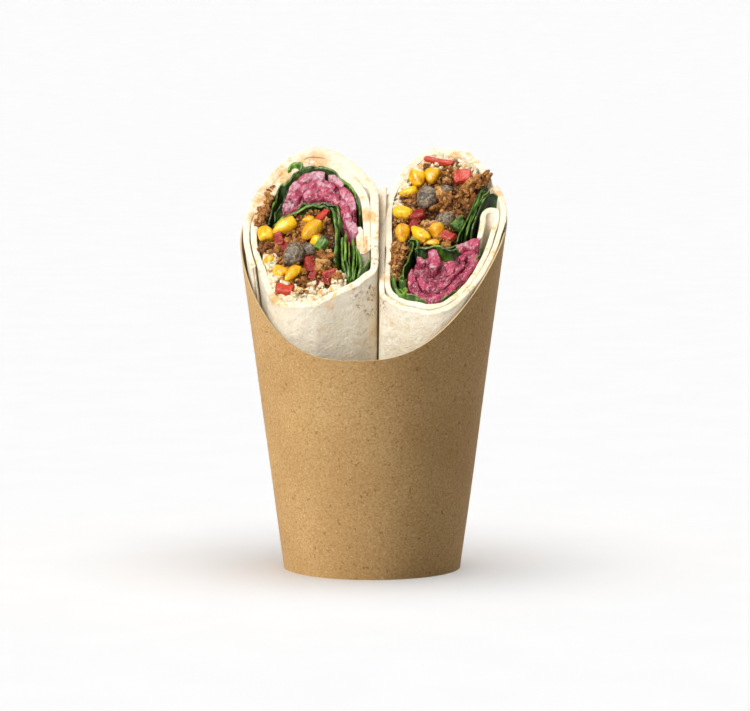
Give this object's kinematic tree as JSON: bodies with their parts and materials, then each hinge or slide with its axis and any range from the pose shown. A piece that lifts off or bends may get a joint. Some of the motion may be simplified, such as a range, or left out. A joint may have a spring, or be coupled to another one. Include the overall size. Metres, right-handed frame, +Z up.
{
  "type": "falafel wrap in a paper scoop cup",
  "caption": "Diagonally cut tortilla wrap with falafel crumble, corn, beans, spinach and pickled onion, its halves standing in a scooped kraft paper cup.",
  "frame": {"origin": "centre of the bounding box on the surface that the cup stands on", "axes": "+Z up along the cup's axis, -Y the low side of the scoop and the side that the cut faces look to, +X to the right seen from that side"},
  "size_m": [0.0902, 0.0864, 0.1418],
  "materials": {
    "kraft_paper": "uncoated brown kraft paper with fine fibres",
    "tortilla_bread": "matte floury bread, toasted in spots",
    "crumbled_falafel": "rough brown crumb with corn, beans and pepper",
    "pickled_onion": "wet translucent pink",
    "spinach_leaf": "satin dark green",
    "soft_cheese": "soft white spread"
  },
  "bodies": {
    "root": {"cup_base": "kraft_paper", "cup_wall": "kraft_paper", "falafel_filling_left": "crumbled_falafel", "falafel_filling_right": "crumbled_falafel", "pickled_onion_left": "pickled_onion", "pickled_onion_right": "pickled_onion", "soft_cheese_left": "soft_cheese", "soft_cheese_right": "soft_cheese", "spinach_left_fan_inner": "spinach_leaf", "spinach_left_fan_middle": "spinach_leaf", "spinach_left_fan_outer": "spinach_leaf", "spinach_left_middle": "spinach_leaf", "spinach_left_outer": "spinach_leaf", "spinach_right_blade_back": "spinach_leaf", "spinach_right_blade_front": "spinach_leaf", "spinach_right_blade_middle": "spinach_leaf", "spinach_right_corner": "spinach_leaf", "spinach_right_middle": "spinach_leaf", "spinach_right_outer": "spinach_leaf", "tortilla_left": "tortilla_bread", "tortilla_right": "tortilla_bread"}
  },
  "joints": []
}
